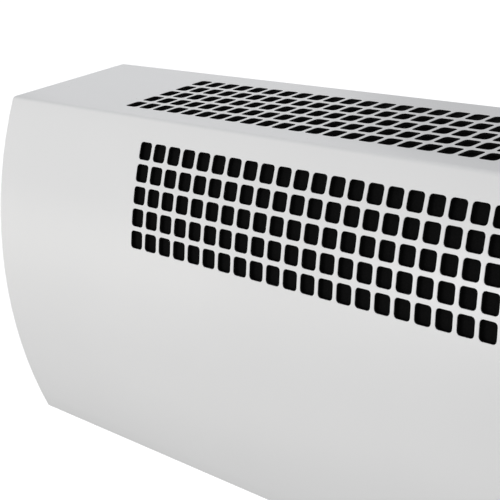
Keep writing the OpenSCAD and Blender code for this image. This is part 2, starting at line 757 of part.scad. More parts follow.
// Disc thermostat on the left bulkhead, with two tabs
module overheat_cutout() color(black) translate([-half_chamber - plate_t, slot_front + 2, element_z + 30]) {
    tube_x(-2, 0, 11);
    tube_x(-9, -2, 8);
    for (y = [-4, 4]) along_x(-17, -9) translate([y - 0.4, -3]) square([0.8, 6]);
}

function rod_y(i) = slot_mid + (i == 0 ? 1 : -1) * slot_w / 4;
module guard_rod_places() for (i = [0, 1]) translate([rod_y(i), case_bottom + guard_up]) children();

// Cross wires welded on two rods that pass through the bulkheads
module outlet_guard() color(steel) {
    along_x(-half_chamber - plate_t - 3, half_chamber + plate_t + 3) guard_rod_places() circle(d = rod_d);
    wire_z = case_bottom + guard_up + rod_d / 2 + wire_d / 2 - 0.5;
    count = floor((half_chamber - 6) / wire_pitch);
    rear = duct_rear_y(wire_z) - guide_t - wire_d / 2;
    front = duct_front_y(wire_z) + guide_t + wire_d / 2;
    for (i = [-count : count]) translate([i * wire_pitch, rear, wire_z]) rotate([90, 0, 0])
        cylinder(d = wire_d, h = rear - front);
}

function vane_y(i) = slot_mid + (2 - i) * vane_pitch;

// Lens-shaped vane with a pivot pin at each end and a link pin at the left
module louvre_vane(i) color("#e9ebea") translate([0, vane_y(i), vane_z]) {
    along_x(-vane_left, vane_right) lens();
    tube_x(-half_chamber + 1, -vane_left + cut, pivot_d / 2);
    tube_x(vane_right - cut, half_chamber - 1, pivot_d / 2);
    translate([0, 0, crank]) tube_x(-vane_left - vane_gap / 2 - link_t, -vane_left + cut, link_pin_d / 2);
    translate([-vane_left, 0, 0]) along_x(0, 3) translate([-link_pin_d, 0]) square([2 * link_pin_d, crank + 2]);
}

module lens() let (r = (pow(vane_w / 2, 2) + pow(vane_t / 2, 2)) / vane_t) intersection() {
    translate([r - vane_t / 2, 0]) circle(r = r);
    translate([vane_t / 2 - r, 0]) circle(r = r);
}

// Bar that makes the vanes turn together
module louvre_link() color("#d4d6d5")
    along_x(-vane_left - vane_gap - link_t + vane_gap / 2, -vane_left - vane_gap / 2 - 0.05) difference() {
        union() {
            translate([slot_mid - vane_pitch, vane_z + crank - link_h / 2]) square([2 * vane_pitch, link_h]);
            for (i = [1, 3]) translate([vane_y(i), vane_z + crank]) circle(d = link_h);
        }
        for (i = [1 : 3]) translate([vane_y(i), vane_z + crank]) circle(r = link_pin_d / 2 + run_gap);
    }

module louvre_bearings() color("#e9ebea") both_ends()
    along_x(half_chamber - bearing_t, half_chamber) difference() {
        translate([slot_mid - vane_pitch - 6, floor_z]) square([2 * vane_pitch + 12, vane_up - 2 * plate_t + 7]);
        for (i = [1 : 3]) translate([vane_y(i), vane_z]) circle(r = pivot_d / 2 + run_gap);
    }

module switch_places() for (i = [-1, 1]) switch_place(i) children();
module switch_place(i) translate([-bay_x + i * switch_gap / 2, slot_mid, case_bottom]) children();

// Snap-in switch bodies: bezel under the panel, body above it, open below for the rocker
module switch_bodies() color(black) switch_places() difference() {
    union() {
        linear_extrude(plate_t) square([bezel_w, bezel_l], center = true);
        linear_extrude(2 * plate_t + switch_h) square([bezel_w - 3, bezel_l - 4], center = true);
    }
    translate([0, 0, -cut]) linear_extrude(rocker_z - case_bottom + 5 + cut)
        square([rocker_w + 2 * 0.4, 2 * rocker_room], center = true);
    translate([0, 0, rocker_z - case_bottom]) rotate([0, 90, 0])
        cylinder(r = rocker_pin_d / 2 + run_gap, h = rocker_w + 6, center = true);
}

// Rocker resting on one stop, with its hinge pins
module rocker() translate([0, 0, rocker_z - case_bottom]) rotate([-rocker_tilt, 0, 0]) {
    along_x(-rocker_w / 2, rocker_w / 2) polygon([
        [-rocker_l / 2, -rocker_end], [0, -rocker_mid], [rocker_l / 2, -rocker_end],
        [rocker_l / 2 - 0.5, 1 - rocker_mid], [4, 2.5], [-4, 2.5], [0.5 - rocker_l / 2, 1 - rocker_mid]
    ]);
    tube_x(-rocker_w / 2 - 2, rocker_w / 2 + 2, rocker_pin_d / 2);
}

module fan_rocker() color("#1f2123") switch_place(-1) rocker();
module heat_rocker() color("#1f2123") switch_place(1) rocker();

// Five-pole terminal strip with screw wells
module terminal_block() color("#e8e8e2") let (poles = 5, w = 10, deep = 18, high = 22) difference() {
    translate([-bay_x - poles * w / 2, back_y - deep, -70]) cube([poles * w, deep, high]);
    for (i = [0 : poles - 1]) translate([-bay_x + (i - (poles - 1) / 2) * w, back_y - deep, -59]) {
        for (z = [-6, 6]) translate([0, 0, z]) rotate([90, 0, 0]) cylinder(d = 6, h = 12, center = true);
        translate([0, deep / 2 + 2, 0]) cylinder(d = 5, h = 30, center = true);
    }
}

// Relay on a foot, with a row of tabs above and below
module heater_relay() color("#2b2d30") let (side = 30, foot_t = 4, foot_rim = 3, tab = [6, 0.8, 3])
    translate([6 - bay_x, back_y, 6]) {
        translate([-side / 2, -foot_t - side, -side / 2]) cube(side);
        translate([-side / 2 - foot_rim, -foot_t, -side / 2 - foot_rim])
            cube([side + 2 * foot_rim, foot_t, side + 2 * foot_rim]);
        for (x = [-1.5, 0, 1.5], z = [-side / 2 - tab[2], side / 2])
            translate([(x - 0.5) * tab[0], -3 * foot_t, z]) cube(tab);
    }

// Rubber grommet: neck in the back plate and a flange inside
module cable_grommet() color(rubber) cable_place() difference() {
    union() {
        cylinder(d = cable_d + 2 * grommet_wall, h = plate_t);
        translate([0, 0, plate_t]) cylinder(d = cable_d + 2 * grommet_wall + 6, h = 2.5);
    }
    translate([0, 0, -cut]) cylinder(d = cable_d, h = 4 + 2 * cut);
}

// Two posts on the back plate, a saddle across them and its screws
module cord_clamp() color(zinc) translate([-cable_x, back_y, cable_z - 28]) {
    for (x = [-10, 10]) translate([x, 0, 0]) rotate([90, 0, 0]) cylinder(d = 6, h = 12);
    translate([-14, -15, -5]) cube([28, 3, 10]);
    for (x = [-10, 10]) translate([x, -15, 0]) rotate([90, 0, 0]) cylinder(d = 6, h = 2);
}

module earth_stud() color(brass) translate([-half_chamber - 26, back_y, cable_z - 2]) rotate([90, 0, 0]) {
    cylinder(d = 4, h = 16);
    cylinder(d = 8, h = 3, $fn = 6);
    translate([0, 0, 6]) cylinder(d = 9, h = 1);
}

front_cover();
back_plate();
mirror([1, 0, 0]) end_plate();  // end_plate_left
end_plate();  // end_plate_right
bottom_panel();
top_filter();
front_filter();
cover_screws();
chassis_rivets();
color(zinc) mirror([1, 0, 0]) bulkhead();  // bulkhead_left
color(zinc) bulkhead();  // bulkhead_right
rear_guide();
vortex_tongue();
impeller();
end_stub();
drive_hub();
hub_core();
fan_bearing();
bearing_rubber();
bearing_cup();
motor_drum();
motor_shields();
motor_stator();
motor_winding();
motor_rotor();
motor_shaft();
motor_bushes();
motor_rings();
motor_bracket();
run_capacitor();
capacitor_clip();
heater_element(0);  // heater_element_1
heater_element(1);  // heater_element_2
heater_element(2);  // heater_element_3
heater_bushes();
heater_links();
heater_hanger();
overheat_cutout();
outlet_guard();
louvre_vane(1);  // louvre_vane_1
louvre_vane(2);  // louvre_vane_2
louvre_vane(3);  // louvre_vane_3
louvre_link();
louvre_bearings();
switch_bodies();
fan_rocker();
heat_rocker();
terminal_block();
heater_relay();
cable_grommet();
cord_clamp();
earth_stud();
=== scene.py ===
import json
import math

import bmesh
import bpy
from mathutils import Matrix, Vector


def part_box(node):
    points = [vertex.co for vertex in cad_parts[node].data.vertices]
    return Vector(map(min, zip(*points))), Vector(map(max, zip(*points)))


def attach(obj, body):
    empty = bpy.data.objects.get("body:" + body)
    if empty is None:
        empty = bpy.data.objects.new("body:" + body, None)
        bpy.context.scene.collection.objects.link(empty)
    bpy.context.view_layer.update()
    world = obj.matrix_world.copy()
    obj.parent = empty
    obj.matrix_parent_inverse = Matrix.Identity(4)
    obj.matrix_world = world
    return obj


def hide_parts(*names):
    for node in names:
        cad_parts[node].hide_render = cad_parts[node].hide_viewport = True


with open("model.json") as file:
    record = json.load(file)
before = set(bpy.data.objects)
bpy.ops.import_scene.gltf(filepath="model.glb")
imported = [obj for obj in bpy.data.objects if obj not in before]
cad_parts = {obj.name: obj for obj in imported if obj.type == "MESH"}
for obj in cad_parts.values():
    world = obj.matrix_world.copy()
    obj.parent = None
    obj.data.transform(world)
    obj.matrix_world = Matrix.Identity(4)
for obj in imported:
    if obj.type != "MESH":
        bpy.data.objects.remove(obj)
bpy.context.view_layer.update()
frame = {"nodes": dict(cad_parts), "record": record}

MM = 0.001
VERT, EDGE, FACE = bmesh.types.BMVert, bmesh.types.BMEdge, bmesh.types.BMFace
SLOT_OF = {part["node"]: part["material_slot"] for part in frame["record"]["subparts"]}

# ---------------------------------------------------------------- sizes in the part's source, millimetres

CASE_LEN, CASE_H, CASE_DEPTH = 896.0, 208.0, 118.0
FRONT_R, BULGE_UP = 268.5, 83.5
BEND_R, FOLD_R = 3.0, 1.6
SHEET_T, LIP = 1.2, 14.0
PITCH, HOLE, HOLE_R = 12.5, 10.0, 2.0
ROWS, FRONT_COLS, TOP_COLS = 5, 50, 56
FRONT_DROP, TOP_SETBACK = 16.7, 19.0

ARC_Y, ARC_Z = FRONT_R - CASE_DEPTH, BULGE_UP - CASE_H / 2
TOP_Z, BOTTOM_Z = CASE_H / 2, -CASE_H / 2

SCREW_X = (-430.0, -CASE_LEN / 3, CASE_LEN / 3, 430.0)
SCREW_HEAD_D, SCREW_HEAD_H, SCREW_D, SCREW_LEN = 7.5, 1.8, 4.0, 9.0
SCREW_BACK = LIP / 2 - 1

TUBE_R, STUD_R, STUD_OUT = 4.25, 2.0, 10.0

FAN_AXIS = (-58.0, 15.0)

# ---------------------------------------------------------------- sizes in the scene alone, millimetres

# Rounding of the paint on a cut edge, room round a screw, and where the painted shade on the rear flange
# starts
PAINT_R, SCREW_ROOM, SHADE_PAINTED_FROM = 0.15, 0.3, 12.0
# Strip on the elements: its thickness and lead, how deep it sits in the tube, and where it starts and ends
FIN_T, FIN_LEAD, FIN_SUNK, FINS_FROM, FINS_TO = 0.5, 4.5, 0.2, 6.0, 320.0

# Vertices closer than this are one, and a cut this near to a vertex goes through it
WELD, NEAR = 1e-3, 1e-4


# ---------------------------------------------------------------- camera

LENS = 102.77
CAMERA_AT = (318.7, -545.4, 288.7)
AZIMUTH, ELEVATION, ROLL = (math.radians(angle) for angle in (50.523, 19.18, -7.875))


def place_camera():
    """A long lens to the right of the casing and a little above it, with the horizon tipped."""
    data = bpy.data.cameras.new("camera")
    data.sensor_width = 36.0
    data.lens = LENS
    camera = bpy.data.objects.new("camera", data)
    camera.matrix_world = (
        Matrix.Translation(Vector(CAMERA_AT) * MM)
        @ Matrix.Rotation(AZIMUTH, 4, "Z")
        @ Matrix.Rotation(math.pi / 2 - ELEVATION, 4, "X")
        @ Matrix.Rotation(ROLL, 4, "Z")
    )
    bpy.context.scene.collection.objects.link(camera)
    bpy.context.scene.camera = camera


place_camera()


# ---------------------------------------------------------------- materials

def linear(hex_colour):
    """An sRGB hex colour as linear RGBA."""
    parts = (int(hex_colour[i:i + 2], 16) / 255 for i in (1, 3, 5))
    return (*(p / 12.92 if p <= 0.04045 else ((p + 0.055) / 1.055) ** 2.4 for p in parts), 1.0)


def add(tree, kind, settings=(), stops=(), **inputs):
    """Adds a node. Settings are its properties, stops the places and colours of a colour ramp, and inputs are
    values or other nodes' sockets, by name with _ for a space, or by number after a _."""
    node = tree.nodes.new("ShaderNode" + kind)
    for name, value in dict(settings).items():
        setattr(node, name, value)
    for i, (position, colour) in enumerate(stops):
        node.color_ramp.elements[i].position = position
        node.color_ramp.elements[i].color = linear(colour)
    for name, value in inputs.items():
        socket = node.inputs[int(name[1:]) if name[1:].isdigit() else name.replace("_", " ")]
        if isinstance(value, bpy.types.NodeSocket):
            tree.links.new(value, socket)
        else:
            socket.default_value = value
    return node


def per_metre(size_mm):
    """Scale of a pattern whose grains are this many millimetres apart."""
    return 1 / (size_mm * MM)


def begin(name):
    """A new material, its node tree, still empty, and the place on the piece, in metres."""
    made = bpy.data.materials.new(name)
    made.use_nodes = True
    tree = made.node_tree
    tree.nodes.clear()
    return made, tree, add(tree, "TexCoord").outputs["Object"]


def finish_with(tree, **surface):
    """Ends a material with the shader that shows this surface."""
    shader = add(tree, "BsdfPrincipled", **surface)
    add(tree, "OutputMaterial", Surface=shader.outputs["BSDF"])


def powder_coat(name, pale, dark, drift_mm=140, peel_mm=2.2, peel_depth_mm=0.03):
    """Polyester powder baked on sheet: even, semi-matt, with a faint orange peel that blurs reflections."""
    made, tree, place = begin(name)
    drift = add(tree, "TexNoise", Vector=place, Scale=per_metre(drift_mm), Detail=2.0)
    tint = add(tree, "ValToRGB", stops=((0.35, dark), (0.65, pale)), Fac=drift.outputs["Fac"])
    peel = add(tree, "TexNoise", Vector=place, Scale=per_metre(peel_mm), Detail=1.0)
    gloss = add(tree, "MapRange", Value=peel.outputs["Fac"], To_Min=0.26, To_Max=0.34)
    relief = add(tree, "Bump", Height=peel.outputs["Fac"], Strength=0.25, Distance=peel_depth_mm * MM)
    finish_with(tree, Base_Color=tint.outputs["Color"], Roughness=gloss.outputs["Result"],
                Normal=relief.outputs["Normal"], IOR=1.5)
    return made


def grained(name, pale, dark, grain_mm, roughness, relief_mm, stretch=(1, 1, 1), **more):
    """A surface whose colour, gloss and relief follow one fine grain, stretched the way it was worked."""
    made, tree, place = begin(name)
    laid = add(tree, "Mapping", Vector=place, Scale=stretch)
    grain = add(tree, "TexNoise", Vector=laid.outputs["Vector"], Scale=per_metre(grain_mm), Detail=3.0,
                Roughness=0.6)
    tint = add(tree, "ValToRGB", stops=((0.3, dark), (0.7, pale)), Fac=grain.outputs["Fac"])
    gloss = add(tree, "MapRange", Value=grain.outputs["Fac"], From_Min=0.3, From_Max=0.7,
                To_Min=roughness[0], To_Max=roughness[1])
    relief = add(tree, "Bump", Height=grain.outputs["Fac"], Strength=0.6, Distance=relief_mm * MM)
    finish_with(tree, Base_Color=tint.outputs["Color"], Roughness=gloss.outputs["Result"],
                Normal=relief.outputs["Normal"], **more)
    return made


def zinc_spangle(name, crystal_mm=8, frost_mm=1.1):
    """Hot-dipped zinc on steel: flat crystals, each with its own grey and gloss, under a fine frost."""
    made, tree, place = begin(name)
    crystals = add(tree, "TexVoronoi", Vector=place, Scale=per_metre(crystal_mm), Randomness=1.0)
    grey = add(tree, "SeparateColor", Color=crystals.outputs["Color"])
    frost = add(tree, "TexNoise", Vector=place, Scale=per_metre(frost_mm), Detail=3.0, Roughness=0.7)
    frosted = add(tree, "Math", {"operation": "MULTIPLY_ADD"},
                  _0=frost.outputs["Fac"], _1=0.9, _2=grey.outputs["Red"])
    tint = add(tree, "ValToRGB", stops=((0.3, "#a9aeb1"), (1.0, "#c9cdcf")), Fac=frosted.outputs["Value"])
    gloss = add(tree, "MapRange", Value=grey.outputs["Green"], To_Min=0.34, To_Max=0.46)
    finish_with(tree, Base_Color=tint.outputs["Color"], Roughness=gloss.outputs["Result"], Metallic=1.0)
    return made


def banded(name, pale, dark, band_mm, kind, roughness, centre=(0, 0, 0), relief_mm=0.15):
    """Metal sheets or wires that lie side by side, with a dark line between each and the next."""
    made, tree, place = begin(name)
    laid = add(tree, "Mapping", Vector=place, Location=centre)
    # A wave texture repeats every pi/10 at scale 1
    bands = add(tree, "TexWave", {"wave_type": kind, "bands_direction": "X", "rings_direction": "X"},
                Vector=laid.outputs["Vector"], Scale=math.pi / 10 * per_metre(band_mm), Distortion=0.6,
                Detail=1.0)
    tint = add(tree, "ValToRGB", stops=((0.1, dark), (0.5, pale)), Fac=bands.outputs["Fac"])
    gloss = add(tree, "MapRange", Value=bands.outputs["Fac"], To_Min=roughness[1], To_Max=roughness[0])
    relief = add(tree, "Bump", Height=bands.outputs["Fac"], Strength=0.7, Distance=relief_mm * MM)
    finish_with(tree, Base_Color=tint.outputs["Color"], Roughness=gloss.outputs["Result"],
                Normal=relief.outputs["Normal"], Metallic=1.0)
    return made


FAN_CENTRE = (0, -FAN_AXIS[0] * MM, -FAN_AXIS[1] * MM)

FINISHES = {
    # White powder coat on the steel casing, and on aluminium a shade darker
    "cover_paint": powder_coat("powder_coated_steel_white", "#f1f1f0", "#efefee"),
    "vane_white": powder_coat("powder_coated_aluminium_white", "#eeeeec", "#ebebea"),
    # Bare hot-dipped sheet: a dull mosaic of greys
    "zinc_plate": zinc_spangle("galvanised_steel_sheet"),
    # Black polyester fleece in a moulded frame: fibres that swallow the light; its black is partly painted
    # shade for the casing's dark inside
    "filter_black": grained(
        "black_fleece_and_painted_shade", "#151515", "#0c0c0c", grain_mm=0.8, roughness=(0.9, 1.0), relief_mm=0.3,
        Specular_IOR_Level=0.05),
    # Rolled aluminium strip: fine streaks along the blades
    "fan_aluminium": grained(
        "rolled_aluminium_strip", "#d3d6d8", "#bfc3c6", grain_mm=0.7, roughness=(0.28, 0.42), relief_mm=0.01,
        stretch=(0.03, 1, 1), Metallic=1.0),
    # Centreless-ground steel: fine rings round the shaft
    "bright_steel": grained(
        "ground_steel", "#c4c6c8", "#a9acaf", grain_mm=0.4, roughness=(0.2, 0.34), relief_mm=0.005,
        stretch=(1, 0.05, 0.05), Metallic=1.0),
    # Enamel stoved on pressed steel: a level dark grey with a soft shine
    "motor_steel": grained(
        "stoved_enamel_grey", "#5a5d60", "#515457", grain_mm=1.6, roughness=(0.35, 0.45), relief_mm=0.02),
    # Pressure-cast aluminium: a dull, faintly pitted skin
    "motor_aluminium": grained(
        "die_cast_aluminium", "#b6b9bb", "#9a9ea1", grain_mm=1.0, roughness=(0.45, 0.6), relief_mm=0.04,
        Metallic=1.0),
    # Electrical sheets of 0.5 mm, drawn 1 mm apart so that they show
    "lamination_steel": banded(
        "stamped_electrical_steel", "#8e9194", "#3c3d3f", band_mm=1.0, kind="BANDS", roughness=(0.4, 0.6)),
    # Copper wire of 0.4 mm under brown enamel, drawn 0.9 mm apart so that the turns show
    "winding_copper": banded(
        "enamelled_copper_wire", "#b0602c", "#4a1f0d", band_mm=0.9, kind="RINGS", roughness=(0.25, 0.45),
        centre=FAN_CENTRE),
    # Drawn steel wire: bright, with fine lines along the cross wires
    "guard_steel": grained(
        "bright_drawn_wire", "#d0d2d4", "#b3b6b9", grain_mm=0.6, roughness=(0.18, 0.3), relief_mm=0.005,
        stretch=(1, 0.1, 0.1), Metallic=1.0),
    # Moulded rubber: nearly black, with hardly any shine
    "rubber": grained(
        "moulded_rubber_black", "#222324", "#191a1b", grain_mm=0.6, roughness=(0.7, 0.85), relief_mm=0.03),
    # Pressed and sintered bronze: pores that hold oil
    "bronze": grained(
        "sintered_bronze", "#a27b45", "#6b4c28", grain_mm=0.35, roughness=(0.4, 0.6), relief_mm=0.03,
        Metallic=1.0),
    # Rolled brass: smooth and yellow, in broad faint clouds
    "brass": grained(
        "rolled_brass", "#d2b064", "#b4914c", grain_mm=3.0, roughness=(0.25, 0.4), relief_mm=0.005,
        Metallic=1.0),
    # Deep-drawn aluminium: fine lines along the can
    "capacitor_case": grained(
        "drawn_aluminium_can", "#d6d8da", "#c2c5c8", grain_mm=0.8, roughness=(0.3, 0.42), relief_mm=0.008,
        stretch=(0.05, 1, 1), Metallic=1.0),
    # Stainless tube after some heats: straw and grey patches
    "element_steel": grained(
        "heat_dulled_stainless", "#8d8276", "#5e5a58", grain_mm=22.0, roughness=(0.4, 0.6), relief_mm=0.01,
        Metallic=1.0),
    # Fired steatite: cream and chalky
    "ceramic": grained(
        "fired_steatite", "#e9e2d1", "#dbd2bd", grain_mm=0.7, roughness=(0.55, 0.7), relief_mm=0.02),
    # Spark-eroded moulds leave a fine, dull grain on the plastic
    "black_plastic": grained(
        "moulded_polyamide_black", "#232427", "#1b1c1e", grain_mm=0.6, roughness=(0.48, 0.6), relief_mm=0.02),
    "white_plastic": grained(
        "moulded_polyamide_white", "#e6e4db", "#dfddd3", grain_mm=0.7, roughness=(0.42, 0.55),
        relief_mm=0.015),
    # A polished mould makes the rockers the glossiest pieces
    "rocker_plastic": grained(
        "polished_polycarbonate_black", "#141517", "#101113", grain_mm=5.0, roughness=(0.12, 0.2),
        relief_mm=0.002),
}
# Cut edges given painted shade: near-black, as dark as what lies behind the holes
PAINTED_SHADE_EDGE = grained(
    "painted_shade_cut_edge", "#1f1f1f", "#181818", grain_mm=0.5, roughness=(0.85, 0.95), relief_mm=0.01,
    Specular_IOR_Level=0.05)


def finish_cad_nodes():
    """Each CAD node takes the finish of the material slot that the record gives it."""
    for name, slot in SLOT_OF.items():
        for place in frame["nodes"][name].material_slots:
            place.material = FINISHES[slot]


finish_cad_nodes()


# ---------------------------------------------------------------- new pieces

def settle(bm, name, body, node, more_finishes=()):
    """The finished piece from a bmesh in millimetres, smooth but for its creases, in place of a CAD node.
    Faces of material index 1 take the second finish."""
    bmesh.ops.transform(bm, matrix=Matrix.Scale(MM, 4), verts=bm.verts)
    mesh = bpy.data.meshes.new(name)
    bm.to_mesh(mesh)
    bm.free()
    mesh.shade_smooth()
    mesh.set_sharp_from_angle(angle=math.radians(30))
    for finish in (FINISHES[SLOT_OF[node]], *more_finishes):
        mesh.materials.append(finish)
    piece = bpy.data.objects.new(name, mesh)
    bpy.context.scene.collection.objects.link(piece)
    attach(piece, body)
    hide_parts(node)


def only(kind, geometry):
    """The vertices, the edges or the faces among mixed geometry."""
    return [g for g in geometry if isinstance(g, kind)]


def rectangle(bm, width, height, centre=(0, 0, 0)):
    """A flat face in X and Y; gives back its corners."""
    place = Matrix.Translation(centre) @ Matrix.Diagonal((width, height, 1, 1))
    return bmesh.ops.create_grid(bm, x_segments=1, y_segments=1, size=0.5, matrix=place)["verts"]


def open_loop(bm, verts):
    """Takes away the face inside these vertices and gives back the edges between them."""
    inside = {face for vert in verts for face in vert.link_faces}
    bmesh.ops.delete(bm, geom=list(inside), context="FACES_ONLY")
    return list({edge for vert in verts for edge in vert.link_edges})


def scribe(bm, faces, axis, places):
    """Cuts straight lines across flat faces, square to an axis."""
    for at in places:
        point, normal = Vector(), Vector()
        point[axis], normal[axis] = at, 1
        geometry = {*faces, *(e for f in faces for e in f.edges), *(v for f in faces for v in f.verts)}
        done = bmesh.ops.bisect_plane(bm, geom=list(geometry), plane_co=point, plane_no=normal, dist=NEAR)
        faces = only(FACE, done["geom"])


def repeat(bm, geometry, count, step):
    """Copies geometry count - 1 times, each a step further, and gives back all of it."""
    everything = list(geometry)
    for i in range(1, count):
        copy = bmesh.ops.duplicate(bm, geom=geometry)["geom"]
        bmesh.ops.translate(bm, vec=Vector(step) * i, verts=only(VERT, copy))
        everything += copy
    return everything


def turn_on(bm, rim, radius, axis, outline):
    """Carries an open ring on through an outline of radii and places along an axis, and closes its end."""
    for next_radius, along in outline:
        drawn = bmesh.ops.extrude_edge_only(bm, edges=rim)["geom"]
        rim, ring = only(EDGE, drawn), only(VERT, drawn)
        growth, move = Vector((1, 1, 1)) * next_radius / radius, Vector()
        growth[axis], move[axis] = 1, along - ring[0].co[axis]
        bmesh.ops.scale(bm, vec=growth, verts=ring)
        bmesh.ops.translate(bm, vec=move, verts=ring)
        radius = next_radius
    bmesh.ops.edgeloop_fill(bm, edges=rim)


# ---------------------------------------------------------------- the cover

class Cover:
    """The cover's section: the flat top, the bend, the rolled front, the fold and the lip underneath."""

    reach, rise = FRONT_R - BEND_R, TOP_Z - BEND_R - ARC_Z
    bend_y = ARC_Y - math.sqrt(reach ** 2 - rise ** 2)
    front_from = math.asin(rise / reach)
    fold_reach, fold_drop = FRONT_R - FOLD_R, ARC_Z - BOTTOM_Z - FOLD_R
    fold_y = ARC_Y - math.sqrt(fold_reach ** 2 - fold_drop ** 2)
    front_to = -math.asin(fold_drop / fold_reach)
    lip_front = ARC_Y - math.sqrt(FRONT_R ** 2 - (ARC_Z - BOTTOM_Z) ** 2)
    # Developed length, from the rear edge of the top to the end of each stretch
    top_end = -bend_y
    bend_end = top_end + BEND_R * (math.pi / 2 - front_from)
    front_end = bend_end + FRONT_R * (front_from - front_to)
    fold_end = front_end + FOLD_R * (math.pi / 2 + front_to)
    lip_end = fold_end + lip_front + LIP - fold_y

    @classmethod
    def rolled(cls, flat):
        """Where a point of the flat blank ends up: x is along the casing, y developed, z above the skin."""
        along, s, h = flat
        if s <= cls.top_end:
            return Vector((along, -s, TOP_Z + h))
        if s > cls.fold_end:
            return Vector((along, cls.fold_y + s - cls.fold_end, BOTTOM_Z - h))
        if s <= cls.bend_end:
            centre, r = (cls.bend_y, TOP_Z - BEND_R), BEND_R
            angle = math.pi / 2 - (s - cls.top_end) / r
        elif s <= cls.front_end:
            centre, r = (ARC_Y, ARC_Z), FRONT_R
            angle = cls.front_from - (s - cls.bend_end) / r
        else:
            centre, r = (cls.fold_y, BOTTOM_Z + FOLD_R), FOLD_R
            angle = cls.front_to - (s - cls.front_end) / r
        return Vector((along, centre[0] - (r + h) * math.cos(angle), centre[1] + (r + h) * math.sin(angle)))


FIRST_FRONT_ROW = Cover.bend_end + FRONT_R * (
    Cover.front_from - math.asin((TOP_Z - FRONT_DROP - ARC_Z) / FRONT_R))
# Developed place of each field's first row, and its columns
FIELDS = ((TOP_SETBACK, TOP_COLS), (FIRST_FRONT_ROW, FRONT_COLS))
SCREW_ROW = Cover.fold_end + Cover.lip_front + SCREW_BACK - Cover.fold_y

BEND_STEPS, FRONT_STEPS, FOLD_STEPS, CORNER_STEPS, SCREW_HOLE_STEPS = 5, 11, 4, 3, 16


def between(start, end, count):
    """The places that divide a length into count equal parts, without its ends."""
    return [start + (end - start) * i / count for i in range(1, count)]


def in_a_field(place):
    """Whether a place on the flat blank lies in one of the punched fields."""
    return any(
        abs(place.x) < columns / 2 * PITCH and -0.5 < (place.y - row) / PITCH < ROWS - 0.5
        for row, columns in FIELDS)


def flat_blank(bm):
    """The blank, cut along the steps of its curves and round the cells of the holes."""
    rectangle(bm, CASE_LEN, Cover.lip_end, (0, Cover.lip_end / 2, 0))
    lines = [Cover.top_end, Cover.bend_end, Cover.front_end, Cover.fold_end]
    lines += between(Cover.top_end, Cover.bend_end, BEND_STEPS)
    lines += between(Cover.front_end, Cover.fold_end, FOLD_STEPS)
    for row, columns in FIELDS:
        lines += [row + (i - 0.5) * PITCH for i in range(ROWS + 1)]
    lines += between(FIRST_FRONT_ROW + (ROWS - 0.5) * PITCH, Cover.front_end, FRONT_STEPS)
    scribe(bm, bm.faces[:], 1, lines)
    above_fold = [f for f in bm.faces if f.calc_center_median().y < Cover.front_end]
    scribe(bm, above_fold, 0, [i * PITCH for i in range(-TOP_COLS // 2, TOP_COLS // 2 + 1)])


def punch_fields(bm):
    """Puts a cell with a rounded square hole in place of each square of the two fields."""
    punched_out = [f for f in bm.faces if in_a_field(f.calc_center_median())]
    bmesh.ops.delete(bm, geom=punched_out, context="FACES")
    for row, columns in FIELDS:
        first = (-(columns - 1) / 2 * PITCH, row, 0)
        hole = rectangle(bm, HOLE, HOLE, first)
        hole = bmesh.ops.bevel(bm, geom=hole, affect="VERTICES", offset=HOLE_R, offset_type="OFFSET",
                               segments=CORNER_STEPS, profile=0.5, material=-1)["verts"]
        rim = rectangle(bm, PITCH, PITCH, first)
        loops = open_loop(bm, hole) + open_loop(bm, rim)
        sheet = bmesh.ops.triangle_fill(bm, edges=loops, normal=(0, 0, 1))["geom"]
        cell = list({*sheet, *hole, *rim, *(e for v in (*hole, *rim) for e in v.link_edges)})
        repeat(bm, repeat(bm, cell, columns, (PITCH, 0, 0)), ROWS, (0, PITCH, 0))


def drill_lip(bm):
    """Drills the lip for the cover screws."""
    half = SCREW_HEAD_D / 2
    lip = [f for f in bm.faces if f.calc_center_median().y > Cover.fold_end]
    scribe(bm, lip, 0, [x + side * half for x in SCREW_X for side in (-1, 1)])
    lip = [f for f in bm.faces if f.calc_center_median().y > Cover.fold_end]
    scribe(bm, lip, 1, [SCREW_ROW - half, SCREW_ROW + half])
    squares = [f for f in bm.faces if abs(f.calc_center_median().y - SCREW_ROW) < half
               and min(abs(f.calc_center_median().x - x) for x in SCREW_X) < half]
    bmesh.ops.delete(bm, geom=squares, context="FACES")
    for x in SCREW_X:
        place = Matrix.Translation((x, SCREW_ROW, 0))
        hole = bmesh.ops.create_circle(bm, cap_ends=True, segments=SCREW_HOLE_STEPS,
                                       radius=SCREW_D / 2 + SCREW_ROOM, matrix=place)["verts"]
        rim = rectangle(bm, 2 * half, 2 * half, place.translation)
        bmesh.ops.triangle_fill(bm, edges=open_loop(bm, hole) + open_loop(bm, rim), normal=(0, 0, 1))


def round_painted_edges(bm):
    """Paint rounds the cut edges on the outside of the sheet."""
    cut_edges = [e for e in bm.edges if all(v.co.z > -PAINT_R for v in e.verts)
                 and min(abs(f.normal.z) for f in e.link_faces) < 0.5]
    bmesh.ops.bevel(bm, geom=cut_edges, affect="EDGES", offset=PAINT_R, offset_type="OFFSET", segments=1,
                    profile=0.5, material=-1)


def punched_cover():
    """Made nearly as the real one is: a flat blank is punched, drilled, painted, rolled and folded."""
    bm = bmesh.new()
    flat_blank(bm)
    punch_fields(bm)
    drill_lip(bm)
    bmesh.ops.remove_doubles(bm, verts=bm.verts, dist=WELD)
    bmesh.ops.solidify(bm, geom=bm.faces[:], thickness=SHEET_T)
    round_painted_edges(bm)
    # The cut walls of the holes take the painted shade: near-black, standing in for the shadow inside each
    # hole
    for face in bm.faces:
        if abs(face.normal.z) < 0.5 and in_a_field(face.calc_center_median()):
            face.material_index = 1
    for vert in bm.verts:
        vert.co = Cover.rolled(vert.co)
    # The blank's developed length runs against Y, so rolling turns its faces inwards
    bm.normal_update()
    bmesh.ops.recalc_face_normals(bm, faces=bm.faces[:])
    settle(bm, "punched_cover", "casing", "front_cover", more_finishes=[PAINTED_SHADE_EDGE])


punched_cover()


# ---------------------------------------------------------------- screws

